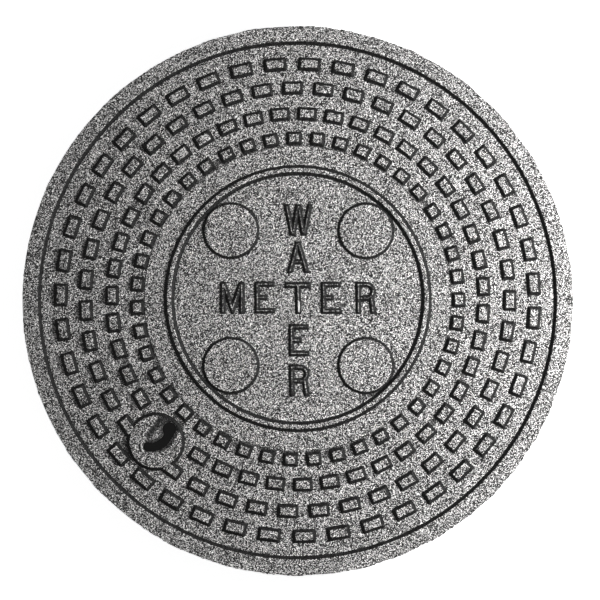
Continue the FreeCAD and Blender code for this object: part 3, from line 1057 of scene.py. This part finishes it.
def iron_material():
    """Dark grey cast iron whose coarse sandy grains glint, its bright flecks partly painted
    glints, darker where it keeps its coating or painted shade, brighter where worn or at the lip's
    painted highlight.
    """
    material = bpy.data.materials.new("cast_iron")
    material.use_nodes = True
    n = Nodes(material.node_tree)
    place = n.add("ShaderNodeTexCoord").outputs["Object"]
    flecks = n.add("ShaderNodeTexVoronoi", {"Vector": place, "Scale": FLECK_SCALE})
    grains = n.add("ShaderNodeTexVoronoi", {"Vector": place, "Scale": FACET_SCALE})
    fleck = n.add("ShaderNodeSeparateColor", {"Color": flecks.outputs["Color"]}).outputs[0]
    patches = n.add(
        "ShaderNodeTexNoise",
        {"Vector": place, "Scale": PATCH_SCALE, "Detail": 4.0, "Roughness": 0.6},
    ).outputs["Fac"]
    coating_and_shade = n.add("ShaderNodeAttribute", attribute_name="coating_and_shade").outputs["Fac"]
    coating_and_shade = n.remap(coating_and_shade, 0.0, 1.0, 0.0, 1.0)
    wear_and_highlight = n.add("ShaderNodeAttribute", attribute_name="wear_and_highlight").outputs["Fac"]
    coating_and_shade = n.math("SUBTRACT", coating_and_shade, n.math("MULTIPLY", wear_and_highlight, 2.0), clamp=True)
    # Flecks of grain, the bright ones partly painted glints
    shade = n.math("MULTIPLY", n.math("POWER", fleck, FLECK_POWER), FLECK_GAIN)
    shade = n.math("ADD", n.math("MINIMUM", shade, FLECK_BRIGHTEST), FLECK_DARKEST)
    shade = n.math("MULTIPLY", shade, n.remap(patches, 0.3, 0.7, *PATCH_RANGE))
    # Darker under the coating, which is partly painted shade
    shade = n.math("MULTIPLY", shade, n.math("POWER", COATED_SHARE, coating_and_shade))
    # Brighter where worn and at the lip's painted highlight
    shade = n.math("MAXIMUM", shade, n.remap(wear_and_highlight, 0.3, 0.9, 0.0, WORN_AND_LIT_BRIGHTNESS))
    colour = n.add(
        "ShaderNodeCombineColor",
        {"Red": shade, "Green": n.math("MULTIPLY", shade, GREEN_SHARE),
         "Blue": n.math("MULTIPLY", shade, BLUE_SHARE)},
    ).outputs[0]
    lean = n.add(
        "ShaderNodeVectorMath", {0: grains.outputs["Color"], 1: (0.5, 0.5, 0.5)},
        operation="SUBTRACT",
    ).outputs["Vector"]
    reach = n.remap(coating_and_shade, 0.0, 1.0, FACET_LEAN, FACET_LEAN_COATED)
    lean = n.add("ShaderNodeVectorMath", {0: lean, "Scale": reach}, operation="SCALE")
    surface = n.add("ShaderNodeNewGeometry").outputs["Normal"]
    facet = n.add(
        "ShaderNodeVectorMath", {0: surface, 1: lean.outputs["Vector"]}, operation="ADD"
    ).outputs["Vector"]
    facet = n.add("ShaderNodeVectorMath", {0: facet}, operation="NORMALIZE").outputs["Vector"]
    roughness = n.remap(coating_and_shade, 0.0, 1.0, *ROUGHNESS)
    specular = n.remap(coating_and_shade, 0.0, 1.0, *SPECULAR)
    shader = n.add(
        "ShaderNodeBsdfPrincipled",
        {"Base Color": colour, "Roughness": roughness, "Normal": facet,
         "Specular IOR Level": specular},
    )
    n.add("ShaderNodeOutputMaterial", {"Surface": shader.outputs[0]})
    return material


# The floor, in metres: its half size, how far it lies below the seat, and the radii between which
# it goes from a painted shadow, black under the cover, to white around it. Then how white the
# paper is, and its glow where it is dark and where it is white.
FLOOR_HALF = 6.0
FLOOR_DROP = 0.0002
FLOOR_SHADOW_RADIUS = 0.250
FLOOR_WHITE_RADIUS = 0.2525
FLOOR_WHITE = 0.8
FLOOR_GLOW = (0.01, 0.92)


def floor_material():
    """White paper with a painted shadow, black where the cover lies on it, and not there for the
    underside.
    """
    material = bpy.data.materials.new("floor_white")
    material.use_nodes = True
    n = Nodes(material.node_tree)
    place = n.add("ShaderNodeTexCoord").outputs["Object"]
    reach = n.add("ShaderNodeVectorMath", {0: place}, operation="LENGTH").outputs["Value"]
    # Black under the cover: a painted shadow, also seen through the keyhole
    clear = n.remap(reach, FLOOR_SHADOW_RADIUS, FLOOR_WHITE_RADIUS, 0.0, 1.0)
    grey = n.math("MULTIPLY", clear, FLOOR_WHITE)
    colour = n.add(
        "ShaderNodeCombineColor", {"Red": grey, "Green": grey, "Blue": grey}
    ).outputs[0]
    matte = n.add("ShaderNodeBsdfDiffuse", {"Color": colour}).outputs[0]
    glow = n.remap(clear, 0.0, 1.0, *FLOOR_GLOW)
    glow = n.math("MULTIPLY", n.seen(), glow)
    glow = n.add("ShaderNodeEmission", {"Strength": glow}).outputs[0]
    both = n.add("ShaderNodeAddShader", {0: matte, 1: glow}).outputs[0]
    behind = n.add("ShaderNodeNewGeometry").outputs["Backfacing"]
    diffuse = n.add("ShaderNodeLightPath").outputs["Is Diffuse Ray"]
    covered = n.math("MULTIPLY", diffuse, n.math("SUBTRACT", 1.0, clear))
    open_to = n.math("MAXIMUM", behind, covered)
    unseen = n.add("ShaderNodeBsdfTransparent").outputs[0]
    shader = n.add("ShaderNodeMixShader", {"Fac": open_to, 1: both, 2: unseen}).outputs[0]
    n.add("ShaderNodeOutputMaterial", {"Surface": shader})
    return material


def make_floor():
    """A plain floor under the cover."""
    half = FLOOR_HALF
    mesh = bpy.data.meshes.new("floor")
    corners = [(-half, -half, 0.0), (half, -half, 0.0), (half, half, 0.0), (-half, half, 0.0)]
    mesh.from_pydata(corners, [], [(0, 1, 2, 3)])
    floor = bpy.data.objects.new("floor", mesh)
    floor.location.z = -FLOOR_DROP
    bpy.context.scene.collection.objects.link(floor)
    floor.data.materials.append(floor_material())


# The surround's light from above, and from below on the -X and the +X side
LIGHT_ABOVE = 0.12
LIGHT_BELOW = (2.0, 0.3)


def set_world():
    """A soft grey surround, brighter from below and white where the camera sees it."""
    world = bpy.data.worlds.new("studio")
    bpy.context.scene.world = world
    world.use_nodes = True
    n = Nodes(world.node_tree)
    white = n.add(
        "ShaderNodeBackground", {"Color": (1.0, 1.0, 1.0, 1.0), "Strength": 1.0}
    ).outputs[0]
    heading = n.add("ShaderNodeTexCoord").outputs["Generated"]
    heading = n.add("ShaderNodeSeparateXYZ", {"Vector": heading}).outputs
    below = n.remap(heading["X"], -0.9, 0.9, *LIGHT_BELOW)
    strength = n.remap(heading["Z"], -0.01, 0.01, below, LIGHT_ABOVE)
    soft = n.add(
        "ShaderNodeBackground", {"Color": (1.0, 1.0, 1.0, 1.0), "Strength": strength}
    ).outputs[0]
    shown = n.add("ShaderNodeMixShader", {"Fac": n.seen(), 1: soft, 2: white}).outputs[0]
    n.add("ShaderNodeOutputWorld", {"Surface": shown})


def aim(item, target):
    """Turns a lamp or camera at a point."""
    direction = Vector(target) - item.location
    item.rotation_euler = direction.to_track_quat("-Z", "Y").to_euler()


# The key light stands low on the right: its place and size in metres, and its power in watts
KEY_PLACE = (0.69, 0.045, 0.49)
KEY_SIZE = 0.26
KEY_POWER = 14.2


def make_lamp(name, location, size, power):
    """A round soft lamp turned at the cover."""
    lamp = bpy.data.lights.new(name, "AREA")
    lamp.shape = "DISK"
    lamp.size = size
    lamp.energy = power
    item = bpy.data.objects.new(name, lamp)
    item.location = location
    bpy.context.scene.collection.objects.link(item)
    aim(item, (0.0, 0.0, 0.0))


# The camera is almost straight above and leans a little towards the bottom of the picture. Its
# frame is set by the picture's size, the cover's scale there and the place of its middle.
CAMERA_DISTANCE = 1.5
CAMERA_TILT_X = math.radians(-0.91)
CAMERA_TILT_Y = math.radians(-3.72)
CAMERA_ROLL = math.radians(-0.40)
CAMERA_TARGET = Vector((0.0, 0.0, 0.0235))
FRAME_PIXELS = 600.0
PIXELS_PER_METRE = 1088.9
CENTRE_PIXEL = (297.98, 297.81)


def make_camera():
    """A camera at the photograph's view."""
    data = bpy.data.cameras.new("camera")
    camera = bpy.data.objects.new("camera", data)
    bpy.context.scene.collection.objects.link(camera)
    lean_x, lean_y = math.sin(CAMERA_TILT_X), math.sin(CAMERA_TILT_Y)
    backward = Vector((lean_x, lean_y, math.sqrt(1.0 - lean_x**2 - lean_y**2)))
    right = Vector((0.0, 1.0, 0.0)).cross(backward).normalized()
    upward = backward.cross(right)
    turn = Matrix.Rotation(CAMERA_ROLL, 3, backward)
    right, upward = turn @ right, turn @ upward
    camera.location = CAMERA_TARGET + backward * CAMERA_DISTANCE
    camera.rotation_euler = Matrix((right, upward, backward)).transposed().to_euler()
    data.sensor_width = 36.0
    seen_width = FRAME_PIXELS / PIXELS_PER_METRE
    data.lens = data.sensor_width * CAMERA_DISTANCE / seen_width
    data.shift_x = (FRAME_PIXELS / 2.0 - CENTRE_PIXEL[0]) / FRAME_PIXELS
    data.shift_y = (CENTRE_PIXEL[1] - FRAME_PIXELS / 2.0) / FRAME_PIXELS
    data.clip_end = 50.0
    bpy.context.scene.camera = camera


make_camera()
cover = make_cover()
cover.data.materials.append(iron_material())
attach(cover, "root")
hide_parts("cover")
make_floor()
set_world()
make_lamp("key", KEY_PLACE, KEY_SIZE, KEY_POWER)
bpy.context.scene.view_settings.view_transform = "Standard"
